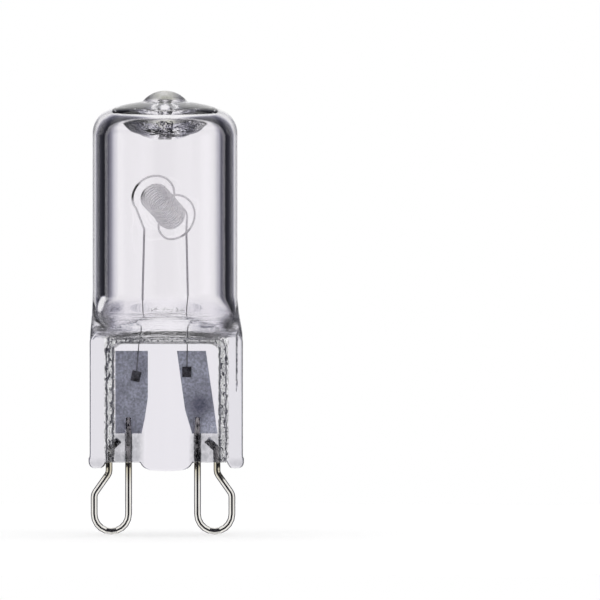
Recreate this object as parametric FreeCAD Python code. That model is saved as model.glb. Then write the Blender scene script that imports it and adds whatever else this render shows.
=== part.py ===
import FreeCAD, Part
import math
import os

# Clear halogen capsule bulb with a pinched foot and two wire contact loops. Millimetres, +Z up.
# The origin is on the tube's axis at the foot of the pinch. +X runs along the pinch's width, and the
# viewer stands at -Y.

# Tube and dome
TUBE_R = 6.32
WALL = 1.05
TUBE_FOOT_Z = 15.0
DOME_TOP_Z = 31.87
DOME_CROWN_R = 16.0
DOME_SHOULDER_R = 2.3
DOME_WALL = 1.25
CEILING_CROWN_R = 22.0
CEILING_SHOULDER_R = 1.5

# Sealed exhaust tip on the dome, with the glass that sagged inwards round its closed bore
TIP_R = 1.7
TIP_HEIGHT = 0.82
TIP_BLEND = 0.28
TIP_STEPS = 3
SAG_R_SHARE = 0.70
SAG_DEPTH = 1.9
SAG_FOOT_R = 0.8
SAG_STEPS = ((0.2, 0.38), (0.48, 0.72), (0.78, 0.94), (1.0, 1.0))
CEILING_STEPS = 2
SEAL_BORE_R = 0.5
SEAL_BORE_END_Z = 31.45

# Pressed foot: two thick side rails joined by a thinner web that is sunk in two steps
PINCH_WIDTH = 13.3
PINCH_SHIFT_X = 0.14
PINCH_EDGE_R = 0.2
PINCH_TOP_Z = 11.3
RAIL_THICKNESS = 4.7
STEP_THICKNESS = 3.7
STEP_INSET = 1.46
STEP_TOP_Z = 11.1
STEP_CORNER_R = 1.1
WEB_THICKNESS = 2.7
WEB_INSET = 2.0
WEB_TOP_Z = 10.8
WEB_CORNER_R = 0.8
WEB_FOOT_Z = 0.3
WEB_BULGE_SINK = 0.55
WEB_BULGE_WIDTH = 4.6
WEB_BULGE_DROP = 0.75
WEB_BULGE_FLAT = 0.6
WEB_BULGE_SHOULDER = 0.9
WEB_BULGE_BEND = (0.6, 0.3)
RAIL_FOOT_WIDTH = 1.45
RAIL_FOOT_HEIGHT = 1.0
RAIL_FOOT_OUTSET = 0.1
RAIL_FOOT_CHAMFER = 0.18

# Flare from the round tube to the flat foot, and the chamber that closes inside it
FLARE_SECTIONS = 8
FLARE_TOP_POWER = 2.0
FLARE_POWER = 10.0
FLARE_OVERLAP = 0.5
FLARE_STEP = 0.03
CHAMBER_SLOT_POWER = 4.0
CHAMBER_FLOOR_PEAK_Z = 13.4
CHAMBER_FLOOR_SIDE_Z = 12.1
CORNER_TURNS = (-30, -12, -4, 4, 12, 30)

# Contact loops
PIN_PITCH = 9.0
LOOPS_SHIFT_X = -0.17
LOOP_WIRE_R = 0.305
LOOP_WIDTH = 3.0
LOOP_BOTTOM_Z = -5.68
LOOP_SHOULDER_Z = -2.45
LOOP_NECK_Z = -0.6
LOOP_NECK_INSET = 1.3
LOOP_BEND_R = 0.75
LOOP_LEG_TOP_Z = 4.25
LOOP_HOOK_Z = 2.3
LOOP_HOOK_RISE_Z = 1.45
LOOP_HOOK_REACH = 0.55
LOOP_SIDES = 12
LOOP_BEND_STEP = 18.0
WIRE_GAP = 0.015

# Sealing foils
FOIL_THICKNESS = 0.04
FOIL_BITE = 0.035
FOIL_TOP_Z = 10.03
FOIL_FOOT_Z = 2.84
FOIL_LEFT_X = (-4.32, -1.49)
FOIL_LEFT_NICK = ((0.0, 3.1), (0.28, 1.24), (0.55, 0.0))
FOIL_RIGHT_TOP_X = (1.04, 3.56)
FOIL_RIGHT_FOOT_X = (2.36, 4.56)
FOIL_RIGHT_KNEE_Z = 4.9
FOIL_RIGHT_KNEE_X = (1.75, 4.30)

# Weld tabs and the fine leads below the filament
TAB_WIDTH = 0.8
TAB_HEIGHT = 0.92
TAB_THICKNESS = 0.06
TAB_LEFT_POINT = (-2.52, 7.82)
TAB_LEFT_TILT = 12.0
TAB_RIGHT_POINT = (1.9, 8.2)
TAB_RIGHT_TILT = 0.0
LEAD_R = 0.05
LEAD_BITE = 0.01
LEAD_SIDES = 8
LEAD_TAB_LAP = 0.3

# Filament
STRAND_R = 0.1
STRAND_SIDES = 8
LEG_STEPS = 3

# Places in the bore: x and y as shares of its radius, then the height
LEG_LEFT_FOOT = (-0.376, 13.95)
LEG_LEFT_TOP = (-0.326, 20.6)
LEG_RIGHT_FOOT = (0.38, 14.65)
LEG_RIGHT_TOP = (0.357, 20.4)
COIL_NEAR = (-0.19, -0.465, 23.6)
COIL_FAR = (0.156, 0.465, 21.55)
COIL_SHARE = 0.224
NEAR_WIDE_SHARE = 0.349
FAR_WIDE_SHARE = 0.389
COIL_WHOLE_TURNS = 13
COIL_START_ANGLE = 225.0
NEAR_WIDE_TURNS = 0.65
FAR_WIDE_TURNS = 0.55
FAR_WIDE_PLACE = 1.05
WIDE_TURN_FADE = 0.35
COIL_POINTS_PER_TURN = 12


def vec(x, y, z):
    return FreeCAD.Vector(x, y, z)


def side_arc(start, middle, end, y=0.0):
    """An arc through three (x, z) points of the plane at y."""
    points = [vec(x, y, z) for x, z in (start, middle, end)]
    return Part.Arc(*points).toShape()


def side_line(start, end, y=0.0):
    return Part.LineSegment(vec(start[0], y, start[1]), vec(end[0], y, end[1])).toShape()


def side_lines(points, y=0.0):
    return [side_line(a, b, y) for a, b in zip(points, points[1:])]


def blend(a, b, share):
    return a + (b - a) * share


def bore_r():
    return TUBE_R - WALL


def in_bore(share_x, share_y, z):
    """A point whose distances from the axis are shares of the bore's radius."""
    return vec(share_x * bore_r(), share_y * bore_r(), z)


def on_circle(centre, radius, angle):
    return (centre[0] + radius * math.cos(angle), centre[1] + radius * math.sin(angle))


# Round closed end, as runs of wall, shoulder and crown in the (radius, z) plane


def rounded_end(radius, top_z, crown_r, shoulder_r, inner_x):
    """The centres of the shoulder and crown, the angle where they meet and the crown's last angle."""
    crown = (0.0, top_z - crown_r)
    offset = radius - shoulder_r
    shoulder = (offset, crown[1] + math.sqrt((crown_r - shoulder_r) ** 2 - offset**2))
    tangent = math.atan2(shoulder[1] - crown[1], offset)
    return shoulder, crown, tangent, math.acos(inner_x / crown_r)


def revolve_profile(edges, foot_x, foot_z, top_z):
    """Turns a profile from (foot_x, foot_z) to the axis at top_z into a solid of revolution."""
    edges.append(side_line((0.0, top_z), (0.0, foot_z)))
    edges.append(side_line((0.0, foot_z), (foot_x, foot_z)))
    face = Part.Face(Part.Wire(Part.__sortEdges__(edges)))
    return face.revolve(vec(0, 0, 0), vec(0, 0, 1), 360)


def tube_outside():
    shoulder, crown, tangent, ending = rounded_end(
        TUBE_R, DOME_TOP_Z, DOME_CROWN_R, DOME_SHOULDER_R, TIP_R + TIP_BLEND
    )
    wall_top = (TUBE_R, shoulder[1])
    crown_foot = on_circle(crown, DOME_CROWN_R, tangent)
    crown_end = on_circle(crown, DOME_CROWN_R, ending)
    crown_middle = on_circle(crown, DOME_CROWN_R, (tangent + ending) / 2)
    edges = [side_line((TUBE_R, TUBE_FOOT_Z), wall_top)]
    edges.append(side_arc(wall_top, on_circle(shoulder, DOME_SHOULDER_R, tangent / 2), crown_foot))
    edges += side_lines([crown_foot, crown_middle, crown_end])
    tip_top = DOME_TOP_Z + TIP_HEIGHT
    cap_foot = (TIP_R, crown_end[1] + TIP_BLEND)
    cap_rise = tip_top - cap_foot[1]
    cap_r = (cap_foot[0] ** 2 + cap_rise**2) / (2 * cap_rise)
    cap_angle = math.atan2(cap_foot[1] - (tip_top - cap_r), cap_foot[0])
    turns = [blend(cap_angle, math.pi / 2, step / TIP_STEPS) for step in range(TIP_STEPS + 1)]
    edges += side_lines([crown_end] + [on_circle((0.0, tip_top - cap_r), cap_r, turn) for turn in turns])
    return revolve_profile(edges, TUBE_R, TUBE_FOOT_Z, tip_top)


def chamber_top():
    """The hollow above the flare, with a ceiling that sags round the closed bore of the tip.

    Its bends are straight steps, which the thick glass in front of them hides.
    """
    ceiling_z = DOME_TOP_Z - DOME_WALL
    shoulder, crown, tangent, ending = rounded_end(
        bore_r(), ceiling_z, CEILING_CROWN_R, CEILING_SHOULDER_R, SAG_R_SHARE * bore_r()
    )
    points = [(bore_r(), TUBE_FOOT_Z)]
    for step in range(CEILING_STEPS + 1):
        points.append(on_circle(shoulder, CEILING_SHOULDER_R, tangent * step / CEILING_STEPS))
    sag_edge = on_circle(crown, CEILING_CROWN_R, ending)
    points.append(sag_edge)
    for share_in, share_down in SAG_STEPS:
        points.append((blend(sag_edge[0], SAG_FOOT_R, share_in), sag_edge[1] - SAG_DEPTH * share_down))
    points.append((SEAL_BORE_R, points[-1][1] + SEAL_BORE_R / 2))
    points.append((SEAL_BORE_R, SEAL_BORE_END_Z - SEAL_BORE_R))
    points.append((0.0, SEAL_BORE_END_Z))
    return revolve_profile(side_lines(points), bore_r(), TUBE_FOOT_Z, SEAL_BORE_END_Z)


# Flare and pressed foot


def section_angles():
    """Angles round a section in degrees, closest together at its four corners."""
    return [90 * quarter + 45 + turn for quarter in range(4) for turn in CORNER_TURNS]


def oval_section(centre_x, z, half_x, half_y, power):
    """A closed curve that is a circle or ellipse at power 2 and squares up as the power grows."""
    points = []
    for degrees in section_angles():
        c, s = math.cos(math.radians(degrees)), math.sin(math.radians(degrees))
        reach = (abs(c) ** power + abs(s) ** power) ** (-1 / power)
        points.append(vec(centre_x + half_x * reach * c, half_y * reach * s, z))
    curve = Part.BSplineCurve()
    curve.interpolate(points, PeriodicFlag=True)
    return Part.Wire(curve.toShape())


def flare_foot_z():
    return PINCH_TOP_Z - FLARE_OVERLAP


def outside_half_y(z):
    """Half the flare's depth at a height, from the tube's radius down to the pinch."""
    share = (TUBE_FOOT_Z - z) / (TUBE_FOOT_Z - flare_foot_z())
    return blend(TUBE_R, (RAIL_THICKNESS - RAIL_FOOT_OUTSET) / 2, share**2 * (3 - 2 * share))


def chamber_half_y(z):
    """Half the hollow's depth at a height of the flare, one wall in from the slope of its outside."""
    height = TUBE_FOOT_Z - flare_foot_z()
    share = (TUBE_FOOT_Z - z) / height
    slope = 6 * share * (1 - share) * (TUBE_R - RAIL_THICKNESS / 2) / height
    return outside_half_y(z) - WALL * math.hypot(1, slope)


def flare(radius, foot_z, foot_half_x, half_y_at, foot_power):
    """A loft from just inside the round tube's radius down to a flat section."""
    top_r = radius - FLARE_STEP
    sections = []
    for i in range(FLARE_SECTIONS + 1):
        share = i / FLARE_SECTIONS
        ease = share**2 * (3 - 2 * share)
        half_x = blend(top_r, foot_half_x, ease)
        z = blend(TUBE_FOOT_Z, foot_z, share)
        half_y = half_y_at(z) - FLARE_STEP * (1 - share)
        power = blend(FLARE_TOP_POWER, foot_power, share**3)
        sections.append(oval_section(PINCH_SHIFT_X * ease, z, half_x, half_y, power))
    return Part.makeLoft(sections, True, True)


def chamber_foot():
    """The hollow closes to a slot whose floor arches up between the leads."""
    hollow = flare(bore_r(), CHAMBER_FLOOR_SIDE_Z, bore_r(), chamber_half_y, CHAMBER_SLOT_POWER)
    rise = CHAMBER_FLOOR_PEAK_Z - CHAMBER_FLOOR_SIDE_Z
    arch_r = (bore_r() ** 2 + rise**2) / (2 * rise)
    start = vec(PINCH_SHIFT_X, -TUBE_R, CHAMBER_FLOOR_PEAK_Z - arch_r)
    arch = Part.makeCylinder(arch_r, 2 * TUBE_R, start, vec(0, 1, 0))
    return hollow.cut(arch)


def sunk_panel(side, inset, top, thickness, r):
    """What is cut away in front of the panel between the rails, open at the foot, with round top corners.

    side is -1 at the front and 1 at the back.
    """
    y = side * thickness / 2
    left = PINCH_SHIFT_X - PINCH_WIDTH / 2 + inset
    right = PINCH_SHIFT_X + PINCH_WIDTH / 2 - inset
    foot = -RAIL_FOOT_HEIGHT
    turn = r * (1 - math.sqrt(0.5))
    edges = side_lines([(left + r, top), (right - r, top)], y)
    edges.append(side_arc((right - r, top), (right - turn, top - turn), (right, top - r), y))
    edges += side_lines([(right, top - r), (right, foot), (left, foot), (left, top - r)], y)
    edges.append(side_arc((left, top - r), (left + turn, top - turn), (left + r, top), y))
    return Part.Face(Part.Wire(edges)).extrude(vec(0, side * TUBE_R, 0))


def pinch_block():
    block = Part.makeBox(
        PINCH_WIDTH,
        RAIL_THICKNESS,
        PINCH_TOP_Z - WEB_FOOT_Z,
        vec(PINCH_SHIFT_X - PINCH_WIDTH / 2, -RAIL_THICKNESS / 2, WEB_FOOT_Z),
    )
    upright = [e for e in block.Edges if abs(e.tangentAt(e.FirstParameter).z) > 0.5]
    return block.makeFillet(PINCH_EDGE_R, upright)


def web_bulge():
    """The rounded drop of glass below the middle of the web, flat along most of its foot."""
    half = WEB_BULGE_WIDTH / 2
    top = WEB_FOOT_Z + WEB_BULGE_SINK
    flat = (half * WEB_BULGE_FLAT, WEB_FOOT_Z - WEB_BULGE_DROP * WEB_BULGE_SHOULDER)
    bend = (blend(flat[0], half, WEB_BULGE_BEND[0]), blend(flat[1], WEB_FOOT_Z, WEB_BULGE_BEND[1]))
    thickness = WEB_THICKNESS - WEB_BULGE_SINK
    y = -thickness / 2
    edges = [side_arc((-flat[0], flat[1]), (0.0, WEB_FOOT_Z - WEB_BULGE_DROP), flat, y)]
    for side in (-1, 1):
        corner = (side * half, WEB_FOOT_Z)
        edges.append(side_arc((side * flat[0], flat[1]), (side * bend[0], bend[1]), corner, y))
        edges.append(side_line(corner, (side * half, top), y))
    edges.append(side_line((-half, top), (half, top), y))
    bulge = Part.Face(Part.Wire(Part.__sortEdges__(edges))).extrude(vec(0, thickness, 0))
    bulge.translate(vec(PINCH_SHIFT_X, 0, 0))
    return bulge


def rail_foot(side):
    """The rounded bead that the cut glass forms at the end of a rail."""
    r = RAIL_FOOT_HEIGHT / 2
    run = RAIL_FOOT_WIDTH - RAIL_FOOT_HEIGHT
    outer = PINCH_SHIFT_X + side * (PINCH_WIDTH / 2 + RAIL_FOOT_OUTSET - r)
    ends = sorted((outer, outer - side * run))
    y = -RAIL_THICKNESS / 2
    edges = [side_arc((ends[0], WEB_FOOT_Z + r), (ends[0] - r, WEB_FOOT_Z), (ends[0], WEB_FOOT_Z - r), y)]
    edges.append(side_line((ends[0], WEB_FOOT_Z - r), (ends[1], WEB_FOOT_Z - r), y))
    edges.append(side_arc((ends[1], WEB_FOOT_Z - r), (ends[1] + r, WEB_FOOT_Z), (ends[1], WEB_FOOT_Z + r), y))
    edges.append(side_line((ends[1], WEB_FOOT_Z + r), (ends[0], WEB_FOOT_Z + r), y))
    bead = Part.Face(Part.Wire(edges)).extrude(vec(0, RAIL_THICKNESS, 0))
    rims = [e for e in bead.Edges if abs(e.tangentAt(e.FirstParameter).y) < 0.5]
    return bead.makeChamfer(RAIL_FOOT_CHAMFER, rims)


def glass_envelope(buried):
    glass = tube_outside()
    half_x = PINCH_WIDTH / 2 - RAIL_FOOT_OUTSET / 2
    outside = flare(TUBE_R, flare_foot_z(), half_x, outside_half_y, FLARE_POWER)
    glass = glass.fuse([outside, pinch_block()])
    for side in (-1, 1):
        glass = glass.cut(sunk_panel(side, STEP_INSET, STEP_TOP_Z, STEP_THICKNESS, STEP_CORNER_R))
        glass = glass.cut(sunk_panel(side, WEB_INSET, WEB_TOP_Z, WEB_THICKNESS, WEB_CORNER_R))
    glass = glass.fuse([web_bulge(), rail_foot(-1), rail_foot(1)])
    glass = glass.cut(chamber_top().fuse(chamber_foot()))
    for piece in buried:
        glass = glass.cut(piece)
    return glass


# Sealing foils, whose front face is pressed a little into the loop wires


def foil_front_y():
    return LOOP_WIRE_R - FOIL_BITE


def foil_plate(points):
    y = foil_front_y()
    corners = [vec(x, y, z) for x, z in points + points[:1]]
    return Part.Face(Part.makePolygon(corners)).extrude(vec(0, FOIL_THICKNESS, 0))


def foil_left():
    left, right = FOIL_LEFT_X
    worn = [(right - inward, FOIL_FOOT_Z + upward) for inward, upward in FOIL_LEFT_NICK]
    return foil_plate([(left, FOIL_FOOT_Z), (left, FOIL_TOP_Z), (right, FOIL_TOP_Z)] + worn)


def foil_right():
    points = [(FOIL_RIGHT_FOOT_X[0], FOIL_FOOT_Z), (FOIL_RIGHT_FOOT_X[1], FOIL_FOOT_Z)]
    points += [(FOIL_RIGHT_KNEE_X[1], FOIL_RIGHT_KNEE_Z), (FOIL_RIGHT_TOP_X[1], FOIL_TOP_Z)]
    points += [(FOIL_RIGHT_TOP_X[0], FOIL_TOP_Z), (FOIL_RIGHT_KNEE_X[0], FOIL_RIGHT_KNEE_Z)]
    return foil_plate(points)


# Wires: rings of corners along a path, joined by flat or nearly flat strips


def wire_rings(points, radius, sides):
    """Corners of a ring square to the path at each point, turned no more than the path itself turns."""
    across = (points[1] - points[0]).cross(vec(0, 1, 0)).normalize()
    rings = []
    for i, point in enumerate(points):
        along = (points[min(i + 1, len(points) - 1)] - points[max(i - 1, 0)]).normalize()
        across = (across - along * across.dot(along)).normalize()
        up = along.cross(across)
        turns = [2 * math.pi * (k + 0.5) / sides for k in range(sides)]
        rings.append([point + across * radius * math.cos(t) + up * radius * math.sin(t) for t in turns])
    return rings


def wire_solid(points, radius, sides):
    rings = wire_rings(points, radius, sides)
    faces = [Part.Face(Part.makePolygon(ring + ring[:1])) for ring in (rings[0], rings[-1])]
    for lower, upper in zip(rings, rings[1:]):
        for k in range(sides):
            foot = Part.LineSegment(lower[k], lower[(k + 1) % sides]).toShape()
            head = Part.LineSegment(upper[k], upper[(k + 1) % sides]).toShape()
            faces.append(Part.makeRuledSurface(foot, head))
    shell = Part.makeShell(faces)
    shell.sewShape()
    solid = Part.Solid(shell)
    return solid if solid.Volume > 0 else solid.reversed()


# Contact loops: straight runs joined by round bends in the plane of the pins


def bent_path(corners, radii):
    """Points along a path that turns at each inner corner on an arc of the given radius."""
    path = [vec(corners[0][0], 0, corners[0][1])]
    for before, corner, after, bend_r in zip(corners, corners[1:], corners[2:], radii):
        here = vec(corner[0], 0, corner[1])
        inward = (vec(before[0], 0, before[1]) - here).normalize()
        outward = (vec(after[0], 0, after[1]) - here).normalize()
        turn = math.pi - inward.getAngle(outward)
        start = here + inward * bend_r * math.tan(turn / 2)
        centre = here + (inward + outward).normalize() * bend_r / math.cos(turn / 2)
        steps = max(2, round(math.degrees(turn) / LOOP_BEND_STEP))
        spin = FreeCAD.Rotation(outward.cross(inward), math.degrees(turn) / steps)
        arm = start - centre
        for step in range(steps + 1):
            if (centre + arm - path[-1]).Length > WIRE_GAP:
                path.append(centre + arm)
            arm = spin.multVec(arm)
    path.append(vec(corners[-1][0], 0, corners[-1][1]))
    return path


def loop_wire(side, radius, extra):
    """The loop's wire, from its leg on the foil. extra lengthens both ends for the seat."""
    centre_x = LOOPS_SHIFT_X + side * PIN_PITCH / 2
    leg_x = centre_x - side * LOOP_WIDTH / 2
    outer_x = centre_x + side * LOOP_WIDTH / 2
    neck_x = outer_x - side * LOOP_NECK_INSET
    hook_x = leg_x + side * (LOOP_HOOK_REACH + LOOP_WIRE_R)
    corners = [(leg_x, LOOP_LEG_TOP_Z + extra), (leg_x, LOOP_BOTTOM_Z), (outer_x, LOOP_BOTTOM_Z)]
    corners += [(outer_x, LOOP_SHOULDER_Z), (neck_x, LOOP_NECK_Z), (neck_x, LOOP_HOOK_RISE_Z)]
    corners += [(hook_x - side * extra, LOOP_HOOK_Z + extra / 2)]
    radii = [LOOP_WIDTH / 2, LOOP_WIDTH / 2, LOOP_BEND_R, LOOP_BEND_R, LOOP_BEND_R / 2]
    return wire_solid(bent_path(corners, radii), radius, LOOP_SIDES)


def press_flat(wire):
    """Takes off the sliver of wire that the foil is pressed against."""
    height = FOIL_TOP_Z - FOIL_FOOT_Z
    corner = vec(-PINCH_WIDTH / 2, foil_front_y(), FOIL_FOOT_Z)
    return wire.cut(Part.makeBox(PINCH_WIDTH, LOOP_WIRE_R, height, corner))


def contact_loop(side):
    return press_flat(loop_wire(side, LOOP_WIRE_R, 0.0))


def loop_seat(side):
    """The channel in the glass round a loop's wire."""
    return press_flat(loop_wire(side, LOOP_WIRE_R + WIRE_GAP, WIRE_GAP))


# Weld tabs and fine leads


def lead_y():
    return foil_front_y() - LEAD_R + LEAD_BITE


def tab_block(point, tilt):
    """A small patch that stands on the foil and is a little thicker than the lead it holds."""
    thickness = foil_front_y() - lead_y() + LEAD_R + TAB_THICKNESS
    corner = vec(-TAB_WIDTH / 2, foil_front_y() - thickness, -TAB_HEIGHT / 2)
    patch = Part.makeBox(TAB_WIDTH, thickness, TAB_HEIGHT, corner)
    patch.rotate(vec(0, 0, 0), vec(0, 1, 0), tilt)
    patch.translate(vec(point[0], 0, point[1]))
    return patch


def inner_lead(tab_point, foot, radius):
    """From the tab straight up past the foil's edge, then in a line to the foot of the filament's leg."""
    top = leg_foot(foot) - vec(0, 0, WIRE_GAP)
    foil_exit = vec((tab_point[0] + top.x) / 2, top.y, FOIL_TOP_Z + TAB_HEIGHT)
    start = vec(tab_point[0], top.y, tab_point[1] - LEAD_TAB_LAP)
    return press_flat(wire_solid([start, foil_exit, top], radius, LEAD_SIDES))


# Filament: leg, wide end turn, coil, wide end turn and leg in one strand


def coil_frame():
    """The directions to the right and upwards, square to the coil's axis."""
    axis = (in_bore(*COIL_FAR) - in_bore(*COIL_NEAR)).normalize()
    right = axis.cross(vec(0, 0, 1)).normalize()
    return right, right.cross(axis).normalize()


def coil_turns():
    """Clockwise from the left leg, seen from the front, to the coil's right side, where a leg leaves."""
    return COIL_WHOLE_TURNS + COIL_START_ANGLE / 360


def turn_radius(turn):
    """The coil's radius after so many turns: wide over the near end turn and near the far end."""
    beyond_near = turn - NEAR_WIDE_TURNS
    beyond_far = abs(turn - coil_turns() + FAR_WIDE_PLACE) - FAR_WIDE_TURNS / 2
    wide = NEAR_WIDE_SHARE if beyond_near < beyond_far else FAR_WIDE_SHARE
    outside = max(0.0, min(beyond_near, beyond_far))
    share = max(0.0, 1 - outside / WIDE_TURN_FADE)
    return blend(COIL_SHARE, wide, share**2 * (3 - 2 * share)) * bore_r()


def coil_points():
    near, far = in_bore(*COIL_NEAR), in_bore(*COIL_FAR)
    right, up = coil_frame()
    turns = coil_turns()
    count = round(turns * COIL_POINTS_PER_TURN)
    points = []
    for i in range(count + 1):
        share = i / count
        angle = math.radians(COIL_START_ANGLE) - 2 * math.pi * turns * share
        radius = turn_radius(turns * share)
        centre = near + (far - near) * share
        points.append(centre + right * radius * math.cos(angle) + up * radius * math.sin(angle))
    return points


def leg_foot(foot):
    return vec(foot[0] * bore_r(), lead_y(), foot[1])


def leg_points(foot, top, coil_end):
    """Evenly spaced points up a leg, which leans from the seal's plane to the coil's end."""
    start = leg_foot(foot)
    rise = in_bore(top[0], coil_end[1], top[1]) - start
    return [start + rise * i / LEG_STEPS for i in range(LEG_STEPS + 1)]


def filament():
    left = leg_points(LEG_LEFT_FOOT, LEG_LEFT_TOP, COIL_NEAR)
    right = leg_points(LEG_RIGHT_FOOT, LEG_RIGHT_TOP, COIL_FAR)
    return wire_solid(left + coil_points() + right[::-1], STRAND_R, STRAND_SIDES)


def sealed_set(side, foil, tab_point, tab_tilt, foot):
    """The pieces of one side of the seal, and the seats that they press into the glass."""
    block = tab_block(tab_point, tab_tilt)
    lead = inner_lead(tab_point, foot, LEAD_R)
    lead_seat = inner_lead(tab_point, foot, LEAD_R + WIRE_GAP)
    pieces = {"foil": foil, "contact_loop": contact_loop(side)}
    pieces.update({"weld_tab": block.cut(lead), "inner_lead": lead})
    return pieces, [foil, block, lead_seat, loop_seat(side)]


def main():
    left, left_seats = sealed_set(-1, foil_left(), TAB_LEFT_POINT, TAB_LEFT_TILT, LEG_LEFT_FOOT)
    right, right_seats = sealed_set(1, foil_right(), TAB_RIGHT_POINT, TAB_RIGHT_TILT, LEG_RIGHT_FOOT)
    nodes = {"glass_envelope": glass_envelope(left_seats + right_seats), "filament": filament()}
    nodes.update({f"{name}_left": shape for name, shape in left.items()})
    nodes.update({f"{name}_right": shape for name, shape in right.items()})
    os.makedirs("parts", exist_ok=True)
    for name, shape in nodes.items():
        shape.exportStep(f"parts/{name}.step")
        print(name, shape.isValid(), len(shape.Solids), round(shape.Volume, 4))


main()
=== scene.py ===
import math

import bmesh
import bpy
import numpy as np
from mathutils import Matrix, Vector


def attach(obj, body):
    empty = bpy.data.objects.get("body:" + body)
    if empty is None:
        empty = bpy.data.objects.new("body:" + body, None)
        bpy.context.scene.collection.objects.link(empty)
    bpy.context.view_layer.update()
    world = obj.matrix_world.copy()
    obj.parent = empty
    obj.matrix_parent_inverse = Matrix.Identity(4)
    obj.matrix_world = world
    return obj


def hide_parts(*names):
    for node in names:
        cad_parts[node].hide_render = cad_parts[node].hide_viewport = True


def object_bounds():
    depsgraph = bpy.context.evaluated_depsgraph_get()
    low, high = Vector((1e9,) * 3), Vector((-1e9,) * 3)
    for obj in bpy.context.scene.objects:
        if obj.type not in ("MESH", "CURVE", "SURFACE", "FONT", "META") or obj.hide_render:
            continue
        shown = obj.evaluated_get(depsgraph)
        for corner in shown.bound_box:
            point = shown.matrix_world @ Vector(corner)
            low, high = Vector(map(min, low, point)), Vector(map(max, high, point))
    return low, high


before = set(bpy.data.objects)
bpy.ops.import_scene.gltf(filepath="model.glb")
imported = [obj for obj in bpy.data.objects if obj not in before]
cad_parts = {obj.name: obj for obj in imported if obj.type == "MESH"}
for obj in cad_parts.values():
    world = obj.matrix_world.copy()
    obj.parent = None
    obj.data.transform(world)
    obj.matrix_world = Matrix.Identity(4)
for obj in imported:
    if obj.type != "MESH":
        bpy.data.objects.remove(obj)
cad_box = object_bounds()

MM = 0.001

# Where the photograph has the object: pixels for one millimetre, and the pixel of the frame's origin
FRAME_PIXELS = 600
PIXELS_PER_MM = 11.48
ORIGIN_PIXEL_X = 165.0
ORIGIN_PIXEL_Y = 466.0
CAMERA_DISTANCE = 0.8
SENSOR_MM = 36.0
CAMERA_CLIP = (0.01, 100)

# Glass, in millimetres, as the solids have it
TUBE_R = 6.32
BORE_R = 5.27
FLARE_TOP_Z = 15.0
FLARE_FOOT_Z = 10.8
DOME_TOP_Z = 31.87
DOME_CROWN_R = 16.0
DOME_SHOULDER_R = 2.3
CEILING_Z = 30.62
CEILING_CROWN_R = 22.0
CEILING_SHOULDER_R = 1.5
TIP_R = 1.7
TIP_HEIGHT = 0.82
TIP_BLEND = 0.28
SAG_R = 3.69
SAG_DEPTH = 1.9
SAG_FOOT_R = 0.8
SEAL_BORE_R = 0.5
SEAL_BORE_END_Z = 31.45
PINCH_SHIFT_X = 0.14
PINCH_HALF_X = 6.65
PINCH_HALF_Y = 2.35
PINCH_EDGE_R = 0.2
# The panels sunk in each face, from the rails inwards: how deep, half width, top and corner radius
PANELS = ((0.5, 5.19, 11.1, 1.1), (0.5, 4.65, 10.8, 0.8))
PANEL_FLANK = 0.16
# The panels' ragged outline: its depth, and how fast its slow and its quick waves run
PANEL_ROUGHNESS = 0.025
SLOW_WAVES = (5.3, 7.0)
QUICK_WAVES = (11.9, 8.3, 6.1)
WEB_FOOT_Z = 0.3
WEB_EDGE_R = 0.4
BULGE_HALF_X = 2.3
BULGE_DROP = 0.75
RAIL_FOOT_DROP = 0.5
RAIL_FOOT_WIDTH = 1.45
RAIL_FOOT_OUTSET = 0.1
RAIL_FOOT_INNER_X = 5.5
RAIL_FOOT_FADE = 0.4
BULGE_PLACES = (0.0, 0.3, 0.6, 0.72, 0.84, 0.93, 1.0)
BULGE_DROPS = (1.0, 0.975, 0.9, 0.79, 0.63, 0.36, 0.0)
FOOT_TOP_Z = 1.6
THINNEST_HALF_Y = 0.02
FLOOR_SIDE_Z = 12.1
FLOOR_PEAK_Z = 13.4
FLOOR_BLEND = 0.01

# How square the sections get down the flare, from which share of it the outside is a rounded box, and from
# which share the panels are sunk in it
ROUND_POWER = 2.0
OUTSIDE_POWER = 10.0
CHAMBER_POWER = 4.0
BOX_SHARE = 0.75
PANEL_SHARE = 0.5

# Rays round the sections: runs from one share of the half width or height to another with their count, and
# how closely they stand round the panels' flanks
FACE_RAYS = ((0.0, 1.0, 60), (0.965, 1.0, 8))
SIDE_RAYS = ((0.0, 0.9, 12), (0.91, 0.995, 7))
FLANK_REACH = 0.018
FLANK_RAYS = 9
CHAMBER_RAYS = 200
SIDE_SHARE = 0.125

# Where rings and points lie: runs of heights with their steps, and counts of rings and of points on arcs
RING_RUNS = ((FOOT_TOP_Z, 9.6, 0.16), (9.6, 11.4, 0.06), (11.4, FLARE_TOP_Z, 0.13))
TUBE_WALL_TOP_Z = 28.6
BORE_WALL_FOOT_Z = 15.3
BORE_WALL_TOP_Z = 28.5
WALL_RINGS = 10
CHAMBER_FLARE_RINGS = 48
FOOT_EDGE_RINGS = 12
FOOT_WALL_RINGS = 8
CHAMBER_FLOOR_RINGS = 6
DOME_POINTS = (28, 14)
CEILING_POINTS = (20, 6)
TIP_POINTS = 14
BORE_POINTS = 7
SAG_POINTS = 22
SAG_MIDDLE = (0.52, 0.72)
STRAND_SIDES = 8
CHANNEL_SIDES = 32
BEND_POINTS = 8
LEG_RINGS = 4
COIL_STEPS = 700
BEAD_STEPS = 4

# Contact loops and the air round their ends in the glass
PIN_PITCH = 9.0
LOOPS_SHIFT_X = -0.17
LOOP_WIRE_R = 0.305
LOOP_WIDTH = 3.0
LOOP_NECK_INSET = 1.3
LOOP_BEND_R = 0.75
LOOP_LEG_TOP_Z = 4.25
LOOP_HOOK_Z = 2.3
LOOP_HOOK_RISE_Z = 1.45
LOOP_HOOK_REACH = 0.55
WIRE_GAP = 0.015
CHANNEL_FOOT_Z = 0.42

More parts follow.
